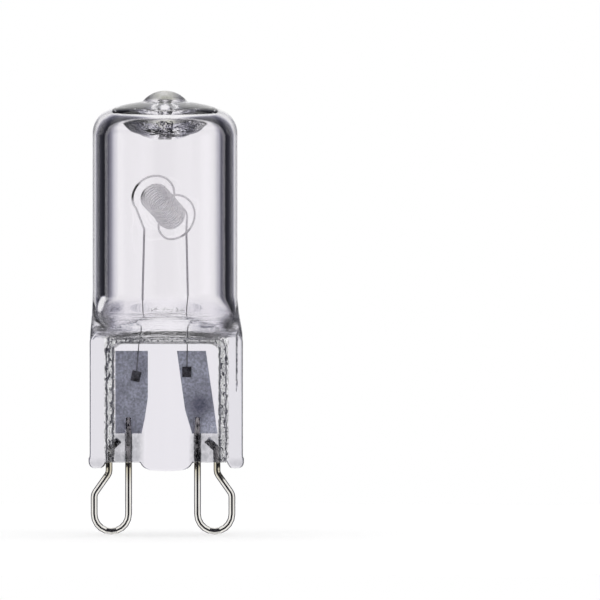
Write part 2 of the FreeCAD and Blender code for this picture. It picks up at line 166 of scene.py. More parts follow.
# Filament, with places as shares of the bore's radius
STRAND_R = 0.1
LEAD_Y = 0.23
LEG_LEFT = ((-0.376, 13.95), (-0.326, 20.6))
LEG_RIGHT = ((0.38, 14.65), (0.357, 20.4))
COIL_NEAR = (-0.19, -0.465, 23.6)
COIL_FAR = (0.156, 0.465, 21.55)
COIL_SHARE = 0.224
NEAR_WIDE_SHARE = 0.349
FAR_WIDE_SHARE = 0.389
COIL_TURNS = 13.625
COIL_START_ANGLE = 225.0
NEAR_WIDE_TURNS = 0.65
FAR_WIDE_TURNS = 0.55
FAR_WIDE_PLACE = 1.05
WIDE_TURN_FADE = 0.35
BEAD_PITCH = 0.16
BEAD_DEPTH = 0.1

# Glass colours, per surface that a ray crosses twice
GLASS_IOR = 1.46
WHITE = (1.0, 1.0, 1.0)
TUBE_TINT_DARK = (0.947, 0.934, 0.957)
TUBE_TINT_LIGHT = (0.961, 0.948, 0.969)
WEB_TINT_DARK = (0.86, 0.84, 0.89)
WEB_TINT_LIGHT = (0.88, 0.86, 0.91)
RAIL_TINT = (0.816, 0.80, 0.849)
# Grey of the clouded glass, which also lies on the rail feet as painted shade
CLOUD_AND_FOOT_SHADE_TINT = (0.42, 0.42, 0.45)
CLOUD_ROUGHNESS = 0.18
CLOUD_SHARES = ((0.36, 0.2), (0.58, 1.0))
# Painted light and shade of the strips' rough surface: white glass with these near-black specks
STRIP_SHADE_SPECK_COLOUR = (0.02, 0.02, 0.03)
STRIP_SHADE_SPECKS = ((0.54, 0.0), (0.57, 1.0))
TIP_TINT_DARK = (0.6, 0.61, 0.46)
TIP_TINT_LIGHT = (1.0, 1.0, 0.92)
TIP_ROUGHNESS = 0.4

# Where each kind of glass fades in (FROM) and out (TO), as pairs of millimetres along x, z or the radius
RAILS_FROM_X = (4.95, 5.3)
TUBE_FROM_Z = (12.0, 14.0)
CLOUD_FROM_X = (1.9, 2.4)
CLOUD_TO_X = (5.0, 4.4)
CLOUD_TO_Z = (3.4, 2.6)
# Painted shade on the rounded rail feet, in the clouds' grey: where it fades in and out, and its strength
FOOT_SHADE_FROM_X = (5.25, 5.6)
FOOT_SHADE_TO_Z = (0.8, 0.3)
FOOT_SHADE_SHARE = 0.5
STRIP_FROM_X = (4.45, 4.6)
STRIP_FROM_Z = (10.6, 10.75)
STRIP_TO_X = (5.45, 5.3)
STRIP_TO_Z = (11.3, 11.2)
TIP_FROM_Z = (31.6, 31.95)
TIP_TO_R = (2.1, 1.85)
FLARE_FROM_Z = (11.15, 11.5)
FLARE_TO_Z = (13.5, 13.0)
SAG_FROM_Z = (28.3, 28.8)
SAG_TO_Z = (30.5, 30.3)
SAG_TO_R = (4.0, 3.7)
CREASE_X = 6.26
CREASE_WIDTH = 0.07
CREASE_FROM_Z = (5.8, 7.5)
CREASE_TO_Z = (11.8, 11.6)

# Depths of the bumps in millimetres, with their strengths
STREAK_STRENGTH = 0.1
STRIP_STRENGTH = 0.9
CLOUD_DENTS = 0.5
TIP_DENTS = 0.6
MOTTLE_STRENGTH = 0.3
STREAK_DEPTH = 0.02
STRIP_DEPTH = 0.16
DRAWN_DEPTH = 0.14
FOLD_DEPTH = 0.28
DENT_DEPTH = 0.12
CREASE_DEPTH = 0.06
MOTTLE_DEPTH = 0.02

# How fine each pattern is along x, y and z, and how soft its patches are
GLASS_STREAKS = (900, 900, 60)
CLOUD_PATCHES = (1100, 1100, 900)
STRIP_GRAIN = (4200, 4200, 2200)
DRAWN_STREAKS = (260, 260, 2600)
SAG_FOLDS = (800, 800, 800)
TIP_SPOTS = (1500, 1500, 1500)
FOIL_GRAIN = (5200, 5200, 5200)
FOIL_CLOUDS = (520, 520, 300)
NICKEL_GRAIN = (4000, 4000, 500)
SEALED_SPOTS = (1800, 1800, 1200)
WIRE_GRAIN = (4000, 4000, 4000)
LEAD_GRAIN = (4000, 4000, 1500)
WELD_GRAIN = (4200, 4200, 4200)
STREAK_SOFTNESS = 0.2
MOTTLE_SOFTNESS = 0.15
MOTTLE_ROUGHNESS = ((0.3, 0.8), (0.7, 1.3))

# Metals: dark and light colours, and where their look changes
FOIL_COLOURS = ((0.38, 0.40, 0.47), (0.79, 0.81, 0.93))
FOIL_CLOUDING = ((0.36, (0.78, 0.78, 0.81)), (0.64, (1.03, 1.05, 1.05)))
FOIL_PATCHES = (((3.05, 5.3), 1.3, (0.5, 0.5, 0.55)), ((4.4, 3.3), 1.6, (1.5, 1.5, 1.5)))
PATCH_CORE = 0.3
NICKEL_COLOURS = ((0.74, 0.72, 0.68), (0.92, 0.90, 0.86))
AGED_TINT = (0.52, 0.47, 0.34)
AGED_FROM_Z = (-1.6, -0.3)
AGED_TO_Z = (0.6, 0.2)
AGED_SHARE = 0.8
SEALED_FROM_Z = (0.2, 0.5)
SEALED_SHARES = ((0.42, 0.0), (0.55, 1.0))
DULLNESS = 0.8
TUNGSTEN_COLOURS = ((0.80, 0.79, 0.82), (1.0, 0.99, 1.0))
# Painted shade on the strand's leg wires: its tint, and where it fades in
LEG_PAINTED_SHADE = (0.5, 0.49, 0.52)
LEGS_TO_Z = (21.0, 20.0)
LEGS_FROM_X = (1.3, 1.5)
# Painted shade that blackens the left of the near wide turn: its middle, reach and core, and its colour
NEAR_TURN_PLACE = (-2.5, 23.9)
NEAR_TURN_REACH = 0.95
NEAR_TURN_CORE = 0.6
NEAR_TURN_SHADE = (0.02, 0.02, 0.025)
LEAD_COLOURS = ((0.12, 0.12, 0.13), (0.34, 0.34, 0.36))
WELD_COLOURS = ((0.001, 0.001, 0.002), (0.18, 0.18, 0.21))

# Surroundings by ray direction. Rays through glass see a tall white panel behind the object and smaller ones
# at its sides, dark between them. Mirrored rays in the open see a tall dark gap towards the viewer with
# bright sides, dark further round, and the panel behind.
# A panel is its azimuth (0 behind the object, 90 at its right), its elevation, and how much heights above and
# below it count. Strengths are greys by the angle from the nearest panel, in degrees.
PANEL_BEHIND = (0, 0, 0.11, 0.19)
PANELS_ASIDE = ((-90, 0, 1.0, 1.0), (-45, -25, 1.0, 1.0), (135, -15, 1.0, 1.0))
PANEL_STRENGTHS = ((0, 1.0), (10.5, 1.0), (13.6, 0.7), (16, 0.44), (19.8, 0.14), (24, 0.1), (29.5, 0.035),
                   (38, 0.02), (50, 0.006))
ASIDE_STRENGTHS = ((0, 1.0), (11, 1.0), (14, 0.5), (18, 0.02), (30, 0.005))
STUDIO_GAP = (180, 25, 0.2, 0.2)
STUDIO_STRENGTHS = ((0, 0.02), (12, 0.02), (22, 1.0), (80, 1.0), (95, 0.12), (150, 0.05))
SHADE_BLUE = 1.4
FLOOR_LIFT = 0.08
FLOOR_RADIUS = 0.12
FLOOR_SIDES = 96
FLOOR_COLOUR = (0.98, 0.98, 0.98)
FLOOR_ROUGHNESS = 0.9


def smooth(share):
    share = np.clip(share, 0.0, 1.0)
    return share * share * (3 - 2 * share)


def mix(a, b, share):
    return a + (b - a) * share


# Section outlines, as points on rays from the middle


def ray_angles(count):
    """Angles round a section, with most of them on the wide faces at the front and back."""
    steps = np.linspace(0.0, 1.0, count // 2, endpoint=False)
    knots = [0.0, SIDE_SHARE, 1 - SIDE_SHARE, 1.0]
    half = np.interp(steps, knots, [0.0, math.pi / 4, 3 * math.pi / 4, math.pi])
    return np.concatenate([half, half + math.pi])


def pinch_angles():
    """Angles round the pinch, closest together at the panels' flanks and at the rails' edges."""
    flanks = [half_x / PINCH_HALF_X for _, half_x, _, _ in PANELS]
    near = [np.linspace(place - FLANK_REACH, place + FLANK_REACH, FLANK_RAYS) for place in flanks]
    places = np.concatenate([np.linspace(*run) for run in FACE_RAYS] + near)
    places = np.unique(np.round(np.concatenate([places, -places]), 4))[::-1]
    face = np.arctan2(1.0, places)
    rise = np.concatenate([np.linspace(*run) for run in SIDE_RAYS])
    side = np.arctan(np.unique(np.concatenate([rise, -rise])))
    half = np.concatenate([side, face])
    return np.concatenate([half, half + math.pi])


def squared_oval(angles, power):
    """Reach of each ray in the unit square: a circle at power 2, squarer above it."""
    return (abs(np.cos(angles)) ** power + abs(np.sin(angles)) ** power) ** (-1 / power)


def rounded_box(angles, edge_x, edge_y):
    """Reach of each ray in the unit square with rounded corners."""
    c = abs(np.cos(angles))
    s = abs(np.sin(angles))
    reach = 1 / np.maximum(c, s)
    middle_x, middle_y = 1 - edge_x, 1 - edge_y
    a = (c / edge_x) ** 2 + (s / edge_y) ** 2
    b = -2 * (c * middle_x / edge_x**2 + s * middle_y / edge_y**2)
    k = (middle_x / edge_x) ** 2 + (middle_y / edge_y) ** 2 - 1
    root = np.sqrt(np.maximum(b * b - 4 * a * k, 0.0))
    corner = (-b + root) / (2 * a)
    in_corner = (corner * c > middle_x) & (corner * s > middle_y)
    return np.where(in_corner, corner, reach)


def recess_depth(x, z):
    """How far the face between the rails is sunk at (x, z), by both panels together."""
    across = abs(x - PINCH_SHIFT_X)
    height = z + 0 * across
    depth = 0 * across
    for sink, half_x, top_z, corner_r in PANELS:
        over_x = across - (half_x - corner_r)
        over_z = height - (top_z - corner_r)
        corner = np.sqrt(np.maximum(over_x, 0) ** 2 + np.maximum(over_z, 0) ** 2)
        outside = corner + np.minimum(np.maximum(over_x, over_z), 0) - corner_r
        waves = np.sin(height * SLOW_WAVES[0] + half_x * SLOW_WAVES[1])
        slanted = np.sin(height * QUICK_WAVES[0] + across * QUICK_WAVES[1])
        waves = waves + slanted * np.sin(across * QUICK_WAVES[2] + top_z)
        ragged = PANEL_ROUGHNESS * waves
        depth = depth + sink * smooth(0.5 - (outside + ragged) / PANEL_FLANK)
    return depth


# Closed skins from rings of points


def ring_mesh(name, rings, inward=False):
    """A closed skin through equal rings, whose first and last ring have shrunk to a line or point."""
    rings = np.array(rings)
    rows, count = rings.shape[:2]
    here = np.arange(rows - 1)[:, None] * count + np.arange(count)[None, :]
    beside = np.arange(rows - 1)[:, None] * count + (np.arange(count)[None, :] + 1) % count
    faces = np.stack([here, beside, beside + count, here + count], axis=-1).reshape(-1, 4)
    mesh = bpy.data.meshes.new(name)
    mesh.from_pydata((rings.reshape(-1, 3) * MM).tolist(), [], faces.tolist())
    work = bmesh.new()
    work.from_mesh(mesh)
    bmesh.ops.remove_doubles(work, verts=work.verts, dist=1e-7)
    bmesh.ops.dissolve_degenerate(work, dist=1e-8, edges=work.edges)
    bmesh.ops.recalc_face_normals(work, faces=work.faces)
    if inward:
        bmesh.ops.reverse_faces(work, faces=work.faces)
    for face in work.faces:
        face.smooth = True
    work.to_mesh(mesh)
    work.free()
    mesh.update()
    piece = bpy.data.objects.new(name, mesh)
    bpy.context.collection.objects.link(piece)
    return piece


def tube_rings(path, radii, sides):
    """Rings square to a path, turned no more than the path turns, with closed ends."""
    path = np.asarray(path, float)
    along = np.gradient(path, axis=0)
    along /= np.linalg.norm(along, axis=1)[:, None]
    across = np.cross(along[0], (0.0, 1.0, 0.0))
    turns = 2 * math.pi * (np.arange(sides) + 0.5) / sides
    rings = [np.repeat(path[:1], sides, axis=0)]
    for point, direction, radius in zip(path, along, radii):
        across = across - direction * across.dot(direction)
        across /= np.linalg.norm(across)
        up = np.cross(direction, across)
        offset = np.cos(turns)[:, None] * across + np.sin(turns)[:, None] * up
        rings.append(point + radius * offset)
    rings.append(np.repeat(path[-1:], sides, axis=0))
    return rings


def profile_rings(profile, angles):
    """Round rings from a profile of (radius, height) pairs."""
    c, s = np.cos(angles), np.sin(angles)
    return [np.stack([r * c, r * s, np.full_like(angles, z)], 1) for r, z in profile]


def arc_points(centre, radius, start, end, count):
    angles = np.linspace(start, end, count)
    return [(centre[0] + radius * math.cos(a), centre[1] + radius * math.sin(a)) for a in angles]


def three_point_arc(a, b, c, count):
    """Points of the arc from a over b to c."""
    (ax, ay), (bx, by), (cx, cy) = a, b, c
    d = 2 * (ax * (by - cy) + bx * (cy - ay) + cx * (ay - by))
    ux = ((ax**2 + ay**2) * (by - cy) + (bx**2 + by**2) * (cy - ay) + (cx**2 + cy**2) * (ay - by)) / d
    uy = ((ax**2 + ay**2) * (cx - bx) + (bx**2 + by**2) * (ax - cx) + (cx**2 + cy**2) * (bx - ax)) / d
    start, middle, end = (math.atan2(p[1] - uy, p[0] - ux) for p in (a, b, c))
    while middle < start:
        middle += 2 * math.pi
    while end < start:
        end += 2 * math.pi
    if middle > end:
        end -= 2 * math.pi
    return arc_points((ux, uy), math.hypot(ax - ux, ay - uy), start, end, count)


def round_end(radius, top_z, crown_r, shoulder_r, inner_x, counts):
    """Shoulder and crown as one smooth run from the wall to the radius inner_x."""
    reach = crown_r - shoulder_r
    offset = radius - shoulder_r
    shoulder = (offset, top_z - crown_r + math.sqrt(reach**2 - offset**2))
    tangent = math.atan2(shoulder[1] - (top_z - crown_r), offset)
    run = arc_points(shoulder, shoulder_r, 0.0, tangent, counts[0])
    end = math.acos(inner_x / crown_r)
    return run + arc_points((0.0, top_z - crown_r), crown_r, tangent, end, counts[1])[1:]


def foot_low(x):
    """The lowest height of the glass at x: web, its bulge and the beads of the rails."""
    across = abs(x - PINCH_SHIFT_X)
    bulge = np.interp(across / BULGE_HALF_X, BULGE_PLACES, WEB_FOOT_Z - BULGE_DROP * np.array(BULGE_DROPS))
    outer = PINCH_HALF_X + RAIL_FOOT_OUTSET - RAIL_FOOT_DROP
    inner = outer - (RAIL_FOOT_WIDTH - 2 * RAIL_FOOT_DROP)
    beyond = np.maximum(np.maximum(across - outer, inner - across), 0.0)
    bead = np.sqrt(np.maximum(RAIL_FOOT_DROP**2 - beyond**2, 0.0))
    return bulge - bead


def outside_rings(angles):
    """The outside from the foot over the pinch, the flare and the wall to the dome and its tip."""
    box = rounded_box(angles, PINCH_EDGE_R / PINCH_HALF_X, PINCH_EDGE_R / PINCH_HALF_Y)
    c, s = np.cos(angles), np.sin(angles)

    def section(z):
        share = np.clip((FLARE_TOP_Z - z) / (FLARE_TOP_Z - FLARE_FOOT_Z), 0.0, 1.0)
        ease = smooth(share)
        half_x = mix(TUBE_R, PINCH_HALF_X, ease)
        half_y = mix(TUBE_R, PINCH_HALF_Y, ease)
        oval = squared_oval(angles, mix(ROUND_POWER, OUTSIDE_POWER, share**3))
        reach = mix(oval, box, smooth((share - BOX_SHARE) / (1 - BOX_SHARE)))
        x = PINCH_SHIFT_X * ease + half_x * reach * c
        thick = abs(half_y * reach * s)
        sink = np.minimum(recess_depth(x, z), np.maximum(thick - THINNEST_HALF_Y, 0.0))
        y = np.sign(s) * (thick - sink * (share > PANEL_SHARE))
        outset = np.exp(-(((z - WEB_FOOT_Z) / RAIL_FOOT_FADE) ** 2)) * RAIL_FOOT_OUTSET
        return x + outset * np.sign(c) * (abs(x) > RAIL_FOOT_INNER_X), y

    foot_x, foot_y = section(np.full_like(angles, WEB_FOOT_Z))
    low = foot_low(foot_x)
    rings = []
    for turn in np.linspace(math.pi / 2, 0.0, FOOT_EDGE_RINGS):
        inwards, upwards = math.cos(turn) ** 0.5, 1 - math.sin(turn) ** 0.5
        rings.append(np.stack([foot_x, foot_y * inwards, low + WEB_EDGE_R * upwards], 1))
    for share in np.linspace(0.0, 1.0, FOOT_WALL_RINGS)[1:]:
        z = mix(low + WEB_EDGE_R, FOOT_TOP_Z, share)
        x, y = section(z)
        rings.append(np.stack([x, y, z], 1))
    for z in np.concatenate([np.arange(*run) for run in RING_RUNS])[1:]:
        x, y = section(z)
        rings.append(np.stack([x, y, np.full_like(x, z)], 1))
    wall = [(TUBE_R, z) for z in np.linspace(FLARE_TOP_Z, TUBE_WALL_TOP_Z, WALL_RINGS)]
    dome = round_end(TUBE_R, DOME_TOP_Z, DOME_CROWN_R, DOME_SHOULDER_R, TIP_R + TIP_BLEND, DOME_POINTS)
    crown_end = dome[-1]
    cap_foot = (TIP_R, crown_end[1] + TIP_BLEND)
    tip_top = DOME_TOP_Z + TIP_HEIGHT
    rise = tip_top - cap_foot[1]
    cap_r = (cap_foot[0] ** 2 + rise**2) / (2 * rise)
    start = math.atan2(cap_foot[1] - (tip_top - cap_r), cap_foot[0])
    tip = [cap_foot] + arc_points((0.0, tip_top - cap_r), cap_r, start, math.pi / 2, TIP_POINTS)[1:]
    return rings + profile_rings(wall + dome + tip, angles)


def chamber_rings(angles):
    """The chamber from its arched floor up the flare to the ceiling, the sag and the closed bore."""
    c, s = np.cos(angles), np.sin(angles)
    arch_rise = FLOOR_PEAK_Z - FLOOR_SIDE_Z
    arch_r = (BORE_R**2 + arch_rise**2) / (2 * arch_rise)
    rings = []

    def section(share):
        ease = smooth(share)
        down = share * (FLARE_TOP_Z - FLOOR_SIDE_Z) / (FLARE_TOP_Z - FLARE_FOOT_Z)
        slope = 6 * down * (1 - down) * (TUBE_R - PINCH_HALF_Y) / (FLARE_TOP_Z - FLARE_FOOT_Z)
        half_y = mix(TUBE_R, PINCH_HALF_Y, smooth(down)) - (TUBE_R - BORE_R) * math.hypot(1, slope)
        reach = squared_oval(angles, mix(ROUND_POWER, CHAMBER_POWER, share**3))
        x = PINCH_SHIFT_X * ease + BORE_R * reach * c
        return x, half_y * reach * s

    def floor_z(x):
        return FLOOR_PEAK_Z - arch_r + np.sqrt(np.maximum(arch_r**2 - (x - PINCH_SHIFT_X) ** 2, 0.0))

    x, y = section(1.0)
    for share in np.linspace(0.0, 1.0, CHAMBER_FLOOR_RINGS)[:-1]:
        rings.append(np.stack([x, y * share, floor_z(x)], 1))
    for share in np.linspace(1.0, 0.0, CHAMBER_FLARE_RINGS):
        x, y = section(share)
        z = mix(FLARE_TOP_Z, FLOOR_SIDE_Z, share)
        over = z - floor_z(x)
        z = floor_z(x) + 0.5 * (over + np.sqrt(over**2 + FLOOR_BLEND))
        rings.append(np.stack([x, y, z], 1))
    wall = [(BORE_R, z) for z in np.linspace(BORE_WALL_FOOT_Z, BORE_WALL_TOP_Z, WALL_RINGS)]
    top = round_end(BORE_R, CEILING_Z, CEILING_CROWN_R, CEILING_SHOULDER_R, SAG_R, CEILING_POINTS)
    sag_edge = top[-1]
    sag_foot = (SAG_FOOT_R, sag_edge[1] - SAG_DEPTH)
    sag_middle = (mix(sag_foot[0], SAG_R, SAG_MIDDLE[0]), sag_edge[1] - SAG_DEPTH * SAG_MIDDLE[1])
    sag = three_point_arc(sag_edge, sag_middle, sag_foot, SAG_POINTS)[1:]
    mouth = (SEAL_BORE_R, sag_foot[1] + SEAL_BORE_R / 2)
    bore = [mouth]
    bore_top = SEAL_BORE_END_Z - SEAL_BORE_R
    bore += [(SEAL_BORE_R, z) for z in np.linspace(mouth[1], bore_top, BORE_POINTS)[1:]]
    bore += arc_points((0.0, bore_top), SEAL_BORE_R, 0.0, math.pi / 2, BORE_POINTS)[1:]
    return rings + profile_rings(wall + top + sag + bore, angles)


# Wires: channels round the loops' ends in the glass, and the filament's strand


def bend(before, corner, after, radius, count):
    """Points of a round bend at a corner of a path in the (x, z) plane."""
    before, corner, after = (np.array(p, float) for p in (before, corner, after))
    inward = (before - corner) / np.linalg.norm(before - corner)
    outward = (after - corner) / np.linalg.norm(after - corner)
    turn = math.pi - math.acos(float(np.clip(inward.dot(outward), -1, 1)))
    start = corner + inward * radius * math.tan(turn / 2)
    end = corner + outward * radius * math.tan(turn / 2)
    centre = corner + (inward + outward) / np.linalg.norm(inward + outward) * radius / math.cos(turn / 2)
    arms = [mix(start - centre, end - centre, share) for share in np.linspace(0, 1, count)]
    return [centre + arm / np.linalg.norm(arm) * radius for arm in arms]


def channel_paths(side):
    """The leg on the foil and the hook, from where each enters the glass."""
    centre_x = LOOPS_SHIFT_X + side * PIN_PITCH / 2
    leg_x = centre_x - side * LOOP_WIDTH / 2
    neck_x = centre_x + side * (LOOP_WIDTH / 2 - LOOP_NECK_INSET)
    hook = (leg_x + side * (LOOP_HOOK_REACH + LOOP_WIRE_R - WIRE_GAP), LOOP_HOOK_Z + WIRE_GAP / 2)
    foot, corner = (neck_x, CHANNEL_FOOT_Z), (neck_x, LOOP_HOOK_RISE_Z)
    hook_path = [foot] + bend(foot, corner, hook, LOOP_BEND_R / 2, BEND_POINTS) + [hook]
    leg_path = [(leg_x, z) for z in np.linspace(CHANNEL_FOOT_Z, LOOP_LEG_TOP_Z + WIRE_GAP, LEG_RINGS)]
    return {"leg": leg_path, "hook": hook_path}


def coil_point(turn):
    """The strand's middle so many turns from the near end."""
    near = np.array([COIL_NEAR[0] * BORE_R, COIL_NEAR[1] * BORE_R, COIL_NEAR[2]])
    far = np.array([COIL_FAR[0] * BORE_R, COIL_FAR[1] * BORE_R, COIL_FAR[2]])
    axis = (far - near) / np.linalg.norm(far - near)
    right = np.cross(axis, (0.0, 0.0, 1.0))
    right /= np.linalg.norm(right)
    up = np.cross(right, axis)
    angle = math.radians(COIL_START_ANGLE) - 2 * math.pi * turn
    beyond_near = turn - NEAR_WIDE_TURNS
    beyond_far = abs(turn - COIL_TURNS + FAR_WIDE_PLACE) - FAR_WIDE_TURNS / 2
    wide = NEAR_WIDE_SHARE if beyond_near < beyond_far else FAR_WIDE_SHARE
    outside = max(0.0, min(beyond_near, beyond_far))
    radius = mix(COIL_SHARE, wide, float(smooth(1 - outside / WIDE_TURN_FADE))) * BORE_R
    centre = near + (far - near) * turn / COIL_TURNS
    return centre + right * radius * math.cos(angle) + up * radius * math.sin(angle)


def leg_ends(leg, coil_end):
    """The foot of a leg and its top, which is as deep as the coil's end."""
    (foot_x, foot_z), (top_x, top_z) = leg
    foot = np.array([foot_x * BORE_R, LEAD_Y, foot_z])
    return [foot, np.array([top_x * BORE_R, coil_end[1] * BORE_R, top_z])]


def strand():
    """Even steps along the whole strand, with a radius that swells once for each fine turn."""
    coil = [coil_point(turn) for turn in np.linspace(0.0, COIL_TURNS, COIL_STEPS)]
    path = leg_ends(LEG_LEFT, COIL_NEAR) + coil + leg_ends(LEG_RIGHT, COIL_FAR)[::-1]
    path = np.array(path)
    reached = np.concatenate([[0.0], np.cumsum(np.linalg.norm(np.diff(path, axis=0), axis=1))])
    places = np.arange(0.0, reached[-1], BEAD_PITCH / BEAD_STEPS)
    points = np.stack([np.interp(places, reached, path[:, i]) for i in range(3)], 1)
    swell = 0.5 + 0.5 * np.cos(2 * math.pi * places / BEAD_PITCH)
    return points, STRAND_R * (1 - BEAD_DEPTH * (1 - swell))


# Materials


def new_material(name):
    """A material with one principled shader."""
    material = bpy.data.materials.new(name)
    material.use_nodes = True
    tree = material.node_tree
    tree.nodes.clear()
    output = tree.nodes.new("ShaderNodeOutputMaterial")
    shader = tree.nodes.new("ShaderNodeBsdfPrincipled")
    tree.links.new(shader.outputs[0], output.inputs["Surface"])
    return material, tree, shader


def add(tree, kind, **inputs):
    made = tree.nodes.new(kind)
    for name, value in inputs.items():
        made.inputs[name.replace("_", " ")].default_value = value
    return made


def noise(tree, fineness, detail=2.0, roughness=0.5):
    """A noise pattern on the object, with its own fineness along x, y and z."""
    where = tree.nodes.new("ShaderNodeTexCoord")
    stretch = add(tree, "ShaderNodeMapping", Scale=fineness)
    tree.links.new(where.outputs["Object"], stretch.inputs["Vector"])
    made = add(tree, "ShaderNodeTexNoise", Scale=1.0, Detail=detail, Roughness=roughness)
    tree.links.new(stretch.outputs[0], made.inputs["Vector"])
    return made.outputs["Fac"]


def ramp(tree, factor, stops):
    made = tree.nodes.new("ShaderNodeValToRGB")
    elements = made.color_ramp.elements
    while len(elements) < len(stops):
        elements.new(0.5)
    for element, (place, colour) in zip(elements, stops):
        element.position = place
        element.color = (*colour, 1.0)
    tree.links.new(factor, made.inputs[0])
    return made.outputs[0]


def grey_ramp(tree, factor, stops):
    return ramp(tree, factor, [(place, (grey, grey, grey)) for place, grey in stops])


def two_tone(tree, pattern, dark, light, soft):
    """Dark and light patches, with a border that is soft on both sides of the pattern's middle."""
    return ramp(tree, pattern, [(0.5 - soft, dark), (0.5 + soft, light)])


def bump(tree, height, strength, distance, below=None):
    """A bump over the one below, with a strength that is a number or a node's output."""
    made = add(tree, "ShaderNodeBump", Distance=distance)
    tree.links.new(height, made.inputs["Height"])
    if isinstance(strength, float):
        made.inputs["Strength"].default_value = strength
    else:
        tree.links.new(strength, made.inputs["Strength"])
    if below is not None:
        tree.links.new(below, made.inputs["Normal"])
    return made.outputs[0]


def position(tree):
    where = tree.nodes.new("ShaderNodeTexCoord")
    parts = tree.nodes.new("ShaderNodeSeparateXYZ")
    tree.links.new(where.outputs["Object"], parts.inputs[0])
    return parts.outputs


def calculate(tree, operation, *values):
    made = tree.nodes.new("ShaderNodeMath")
    made.operation = operation
    for i, value in enumerate(values):
        if isinstance(value, (int, float)):
            made.inputs[i].default_value = value
        else:
            tree.links.new(value, made.inputs[i])
    return made.outputs[0]


def product(tree, first, *others):
    for other in others:
        first = calculate(tree, "MULTIPLY", first, other)
    return first


def length(tree, a, b):
    """The length of a step of a one way and b square to it."""
    squares = calculate(tree, "ADD", product(tree, a, a), product(tree, b, b))
    return calculate(tree, "SQRT", squares)


def fade(tree, value, start, end):
    """0 at start and 1 at end, both in millimetres, and level beyond them."""
    made = add(tree, "ShaderNodeMapRange")
    made.inputs["From Min"].default_value = start * MM
    made.inputs["From Max"].default_value = end * MM
    tree.links.new(value, made.inputs["Value"])
    return made.outputs[0]


def mix_colour(tree, factor, a, b, blend_type="MIX"):
    made = tree.nodes.new("ShaderNodeMix")
    made.data_type = "RGBA"
    made.blend_type = blend_type
    for socket, value in ((made.inputs[0], factor), (made.inputs[6], a), (made.inputs[7], b)):
        if isinstance(value, tuple):
            socket.default_value = (*value, 1.0)
        elif isinstance(value, (int, float)):
            socket.default_value = value
        else:
            tree.links.new(value, socket)
    return made.outputs[2]


def glass_places(tree):
    """Where each kind of glass lies, as shares from 0 to 1."""
    x, y, z = position(tree)[:3]
    across = calculate(tree, "ABSOLUTE", calculate(tree, "SUBTRACT", x, PINCH_SHIFT_X * MM))
    radius = length(tree, x, y)
    off_crease = calculate(tree, "ABSOLUTE", calculate(tree, "SUBTRACT", x, CREASE_X * MM))
    round_legs = product(tree, fade(tree, across, *CLOUD_FROM_X), fade(tree, across, *CLOUD_TO_X),
                         fade(tree, z, *CLOUD_TO_Z))
    # Painted shade on the rounded rail feet, joined to the clouded glass round the loop wires
    rail_foot_shade = product(tree, fade(tree, across, *FOOT_SHADE_FROM_X), fade(tree, z, *FOOT_SHADE_TO_Z),
                        FOOT_SHADE_SHARE)
    strip = calculate(tree, "MAXIMUM", fade(tree, across, *STRIP_FROM_X), fade(tree, z, *STRIP_FROM_Z))
    return {
        "rails": fade(tree, across, *RAILS_FROM_X),
        "tube": fade(tree, z, *TUBE_FROM_Z),
        "cloudy_and_foot_shade": calculate(tree, "MAXIMUM", round_legs, rail_foot_shade),
        "tip": product(tree, fade(tree, z, *TIP_FROM_Z), fade(tree, radius, *TIP_TO_R)),
        "strip": product(tree, strip, fade(tree, across, *STRIP_TO_X), fade(tree, z, *STRIP_TO_Z)),
        "crease": product(tree, fade(tree, off_crease, CREASE_WIDTH, 0.0), fade(tree, z, *CREASE_FROM_Z),
                          fade(tree, z, *CREASE_TO_Z)),
        "flare": product(tree, fade(tree, z, *FLARE_FROM_Z), fade(tree, z, *FLARE_TO_Z)),
        "sag": product(tree, fade(tree, z, *SAG_FROM_Z), fade(tree, z, *SAG_TO_Z),
                       fade(tree, radius, *SAG_TO_R)),
    }


def glass_colour(tree, places, streaks, cloud_and_foot_shade, grain):
    """Tints of tube, web, rails and clouded glass, painted shade on the rail feet in the clouds' grey, the
    olive tip, and painted light and shade on the strips: white glass with dark specks.
    """
    tube = two_tone(tree, streaks, TUBE_TINT_DARK, TUBE_TINT_LIGHT, STREAK_SOFTNESS)
    web = two_tone(tree, streaks, WEB_TINT_DARK, WEB_TINT_LIGHT, STREAK_SOFTNESS)
    pinch = mix_colour(tree, places["rails"], web, RAIL_TINT)
    colour = mix_colour(tree, places["tube"], pinch, tube)
    # Clouded glass, and painted shade on the rail feet, in one grey
    colour = mix_colour(tree, cloud_and_foot_shade, colour, CLOUD_AND_FOOT_SHADE_TINT)
    tip_spots = noise(tree, TIP_SPOTS, 3.0, 0.6)
    tip_colour = two_tone(tree, tip_spots, TIP_TINT_DARK, TIP_TINT_LIGHT, MOTTLE_SOFTNESS)
    colour = mix_colour(tree, places["tip"], colour, tip_colour)
    # Painted light and shade of the strips' rough surface: the strips white, with dark specks
    specks = product(tree, places["strip"], grey_ramp(tree, grain, STRIP_SHADE_SPECKS))
    return mix_colour(tree, specks, mix_colour(tree, places["strip"], colour, WHITE), STRIP_SHADE_SPECK_COLOUR)


def glass_normal(tree, places, streaks, patches, grain):
    """Bumps over each other: streaks, strips, crease, drawn flare, folded sag, dents of the clouded glass,
    the rail feet and the tip.
    """
    drawn = noise(tree, DRAWN_STREAKS, 4.0, 0.6)
    folds = noise(tree, SAG_FOLDS, 3.0, 0.6)
    dented = calculate(tree, "MAXIMUM", product(tree, places["cloudy_and_foot_shade"], CLOUD_DENTS),
                       product(tree, places["tip"], TIP_DENTS))
    normal = bump(tree, streaks, STREAK_STRENGTH, STREAK_DEPTH * MM)
    normal = bump(tree, grain, product(tree, places["strip"], STRIP_STRENGTH), STRIP_DEPTH * MM, normal)
    normal = bump(tree, places["crease"], 1.0, CREASE_DEPTH * MM, normal)
    normal = bump(tree, drawn, places["flare"], DRAWN_DEPTH * MM, normal)
    normal = bump(tree, folds, places["sag"], FOLD_DEPTH * MM, normal)
    return bump(tree, patches, dented, DENT_DEPTH * MM, normal)


